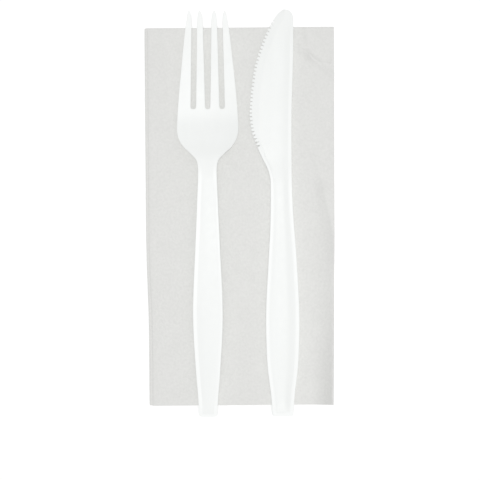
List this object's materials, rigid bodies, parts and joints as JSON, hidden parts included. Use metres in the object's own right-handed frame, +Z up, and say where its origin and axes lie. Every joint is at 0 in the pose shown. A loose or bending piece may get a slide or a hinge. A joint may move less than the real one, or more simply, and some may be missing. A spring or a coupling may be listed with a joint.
{
  "type": "disposable cutlery set on a paper napkin",
  "caption": "Moulded plastic fork and serrated knife lying side by side on a folded paper napkin, with handles and tips past its edges.",
  "frame": {"origin": "middle of the setting's footprint, on the surface that it lies on", "axes": "+Y from the handles to the fork's tines and the knife's tip, +X from the fork to the knife, +Z up"},
  "size_m": [0.0836, 0.1776, 0.0105],
  "materials": {
    "plastic": "satin, moulded white polystyrene",
    "paper": "matt, soft embossed tissue"
  },
  "bodies": {
    "root": {"fork": "plastic", "knife": "plastic", "napkin": "paper"}
  },
  "joints": []
}
